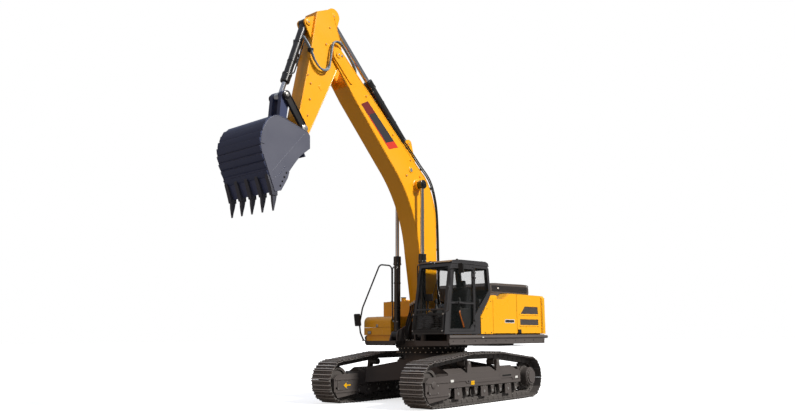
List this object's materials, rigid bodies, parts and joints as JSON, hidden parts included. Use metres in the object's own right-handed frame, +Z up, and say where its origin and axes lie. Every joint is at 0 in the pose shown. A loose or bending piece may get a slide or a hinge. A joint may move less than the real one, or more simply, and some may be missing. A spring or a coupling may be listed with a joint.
{
  "type": "crawler excavator",
  "caption": "Crawler excavator with its boom raised, arm and bucket worked by cylinders, a slewing upper body with a cab, and steel tracks.",
  "frame": {"origin": "on the ground under the centre of the swing bearing", "axes": "+X the way the boom points, +Y to the left (cab side), +Z up"},
  "size_m": [9.1719, 3.5843, 8.815],
  "materials": {
    "boom_yellow": "semi-gloss",
    "body_yellow": "semi-gloss",
    "frame_dark": "satin",
    "black_paint": "satin",
    "cab_charcoal": "semi-gloss",
    "track_steel": "worn",
    "bucket_grey": "satin",
    "rod_chrome": "polished",
    "cylinder_black": "gloss",
    "casting_iron": "rough",
    "engine_block": "cast",
    "window_glass": "clear",
    "seat_fabric": "woven",
    "console_plastic": "moulded",
    "mirror_black": "moulded"
  },
  "bodies": {
    "undercarriage": {"center_frame": "frame_dark", "track_frames": "frame_dark", "left_track": "track_steel", "right_track": "track_steel", "idlers": "track_steel", "final_drives": "frame_dark", "track_rollers": "track_steel", "swing_ring_fixed": "casting_iron"},
    "upper": {"swing_platform": "frame_dark", "swing_ring_turning": "casting_iron", "side_skirts": "frame_dark", "counterweight": "body_yellow", "engine": "engine_block", "left_body": "body_yellow", "right_body": "body_yellow", "fuel_tank": "body_yellow", "hydraulic_tank": "body_yellow", "center_cover": "black_paint", "toolbox": "body_yellow", "cab_frame": "cab_charcoal", "cab_roof": "cab_charcoal", "cab_front_guard": "black_paint", "cab_glass": "window_glass", "operator_seat": "seat_fabric", "control_consoles": "console_plastic", "mirrors": "mirror_black"},
    "cab_door": {"cab_door": "cab_charcoal", "cab_door_glass": "window_glass"},
    "middle_left_door": {"middle_left_door": "body_yellow"},
    "rear_left_door": {"rear_left_door": "body_yellow"},
    "rear_right_door": {"rear_right_door": "body_yellow"},
    "engine_hood": {"engine_hood": "black_paint"},
    "toolbox_lid": {"toolbox_lid": "body_yellow"},
    "boom": {"boom": "boom_yellow"},
    "boom_cylinder_tubes": {"boom_cylinder_tubes": "cylinder_black"},
    "boom_cylinder_rods": {"boom_cylinder_rods": "rod_chrome"},
    "arm": {"arm": "boom_yellow"},
    "arm_cylinder_tube": {"arm_cylinder_tube": "cylinder_black"},
    "arm_cylinder_rod": {"arm_cylinder_rod": "rod_chrome"},
    "bucket_cylinder_tube": {"bucket_cylinder_tube": "cylinder_black"},
    "bucket_cylinder_rod": {"bucket_cylinder_rod": "rod_chrome"},
    "rocker": {"rocker_links": "black_paint"},
    "bucket_link": {"bucket_link": "bucket_grey"},
    "bucket": {"bucket": "bucket_grey", "bucket_teeth": "track_steel"}
  },
  "joints": [
    {"name": "swing", "type": "hinge", "parent": "undercarriage", "child": "upper", "pos_m": [0, 0, 1.18], "axis": [0, 0, 1], "continuous": true},
    {"name": "boom_hinge", "type": "hinge", "parent": "upper", "child": "boom", "pos_m": [0.25, 0, 1.95], "axis": [0, -1, 0], "range_deg": [-104, 4]},
    {"name": "boom_cylinder_tilt", "type": "hinge", "parent": "upper", "child": "boom_cylinder_tubes", "pos_m": [0.79, 0, 1.53], "axis": [0, -1, 0], "range_deg": [-105.58, 5.02]},
    {"name": "boom_cylinder_stroke", "type": "slide", "parent": "boom_cylinder_tubes", "child": "boom_cylinder_rods", "axis": [-0.0112, 0, 0.9999], "range_m": [-1.1044, 0.0473]},
    {"name": "arm_hinge", "type": "hinge", "parent": "boom", "child": "arm", "pos_m": [3.36, 0, 7.7], "axis": [0, 1, 0], "range_deg": [-92, 25]},
    {"name": "arm_cylinder_tilt", "type": "hinge", "parent": "boom", "child": "arm_cylinder_tube", "pos_m": [0.92, 0, 6.12], "axis": [0, 1, 0], "range_deg": [-8.29, 2.98]},
    {"name": "arm_cylinder_stroke", "type": "slide", "parent": "arm_cylinder_tube", "child": "arm_cylinder_rod", "axis": [0.7028, 0, 0.7113], "range_m": [-1.3154, 0.3611]},
    {"name": "bucket_hinge", "type": "hinge", "parent": "arm", "child": "bucket", "pos_m": [4.44, 0, 5.4], "axis": [0, -1, 0], "range_deg": [-130, 20]},
    {"name": "rocker_pivot", "type": "hinge", "parent": "arm", "child": "rocker", "pos_m": [4.3, 0, 5.83], "axis": [0, -1, 0], "range_deg": [-95.91, 15.6]},
    {"name": "bucket_link_pivot", "type": "hinge", "parent": "rocker", "child": "bucket_link", "pos_m": [4.78, 0, 6.46], "axis": [0, -1, 0], "range_deg": [-8.8, 51.73]},
    {"name": "bucket_cylinder_tilt", "type": "hinge", "parent": "arm", "child": "bucket_cylinder_tube", "pos_m": [4.14, 0, 8.27], "axis": [0, -1, 0], "range_deg": [-2.72, 1.26]},
    {"name": "bucket_cylinder_stroke", "type": "slide", "parent": "bucket_cylinder_tube", "child": "bucket_cylinder_rod", "axis": [0.3334, 0, -0.9428], "range_m": [-0.1883, 1.1962]},
    {"name": "cab_door_hinge", "type": "hinge", "parent": "upper", "child": "cab_door", "pos_m": [0.192, 1.482, 2.34], "axis": [0, 0, 1], "range_deg": [0, 160]},
    {"name": "middle_left_door_hinge", "type": "hinge", "parent": "upper", "child": "middle_left_door", "pos_m": [-0.53, 1.472, 1.96], "axis": [0, 0, 1], "range_deg": [-100, 0]},
    {"name": "rear_left_door_hinge", "type": "hinge", "parent": "upper", "child": "rear_left_door", "pos_m": [-2.595, 1.472, 2.03], "axis": [0, 0, 1], "range_deg": [0, 110]},
    {"name": "rear_right_door_hinge", "type": "hinge", "parent": "upper", "child": "rear_right_door", "pos_m": [-2.595, -1.472, 2.03], "axis": [0, 0, -1], "range_deg": [0, 110]},
    {"name": "engine_hood_hinge", "type": "hinge", "parent": "upper", "child": "engine_hood", "pos_m": [-2.455, 0, 2.53], "axis": [0, -1, 0], "range_deg": [0, 60]},
    {"name": "toolbox_lid_hinge", "type": "hinge", "parent": "upper", "child": "toolbox_lid", "pos_m": [0.16, -1.015, 1.992], "axis": [0, -1, 0], "range_deg": [0, 80]}
  ],
  "couplings": [
    {"joint": "boom_cylinder_tilt", "follows": "boom_hinge", "ratio": 1.0056},
    {"joint": "boom_cylinder_stroke", "follows": "boom_hinge", "m_per_rad": 0.6057},
    {"joint": "arm_cylinder_tilt", "follows": "arm_hinge", "ratio": 0.0792},
    {"joint": "arm_cylinder_stroke", "follows": "arm_hinge", "m_per_rad": 0.8161},
    {"joint": "rocker_pivot", "follows": "bucket_hinge", "ratio": 0.7301},
    {"joint": "bucket_link_pivot", "follows": "bucket_hinge", "ratio": -0.3902},
    {"joint": "bucket_cylinder_tilt", "follows": "bucket_hinge", "ratio": 0.0132},
    {"joint": "bucket_cylinder_stroke", "follows": "bucket_hinge", "m_per_rad": -0.525}
  ]
}
